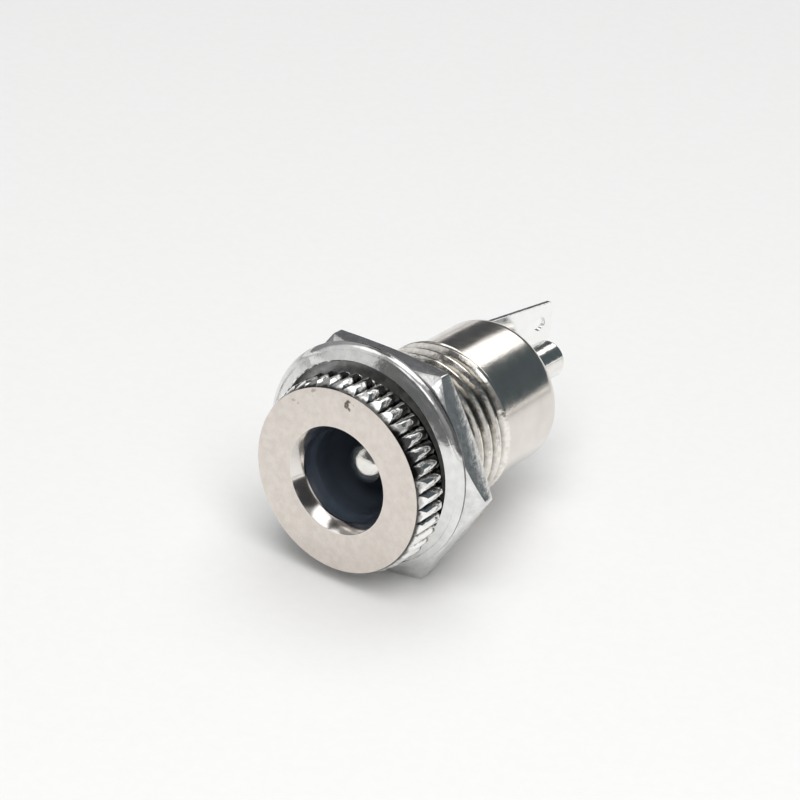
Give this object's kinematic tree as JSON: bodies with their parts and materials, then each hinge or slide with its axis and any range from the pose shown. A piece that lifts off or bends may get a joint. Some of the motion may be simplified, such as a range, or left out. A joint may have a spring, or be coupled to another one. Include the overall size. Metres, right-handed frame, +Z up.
{
  "type": "dc barrel jack",
  "caption": "Panel-mount DC power socket with a knurled round head, threaded shell, hex nut, washer, centre pin and solder lug.",
  "frame": {"origin": "on the jack's axis, in the plane of the head's rear face, which seats on the panel", "axes": "+Y along the axis from the socket's mouth to the solder tails, +Z up across two flats of the nut, +X to the right seen from the front"},
  "size_m": [0.017, 0.0265, 0.0157],
  "materials": {
    "shell_nickel": "satin nickel plate",
    "nut_nickel": "bright nickel plate",
    "washer_steel": "satin nickel plate",
    "lining_plastic": "glossy",
    "plug_plastic": "moulded",
    "pin_nickel": "bright nickel plate",
    "contact_tin": "tinned"
  },
  "bodies": {
    "root": {"housing": "shell_nickel", "hex_nut": "nut_nickel", "washer": "washer_steel", "front_insulator": "lining_plastic", "rear_insulator": "plug_plastic", "centre_pin": "pin_nickel", "sleeve_contact": "contact_tin"}
  },
  "joints": []
}
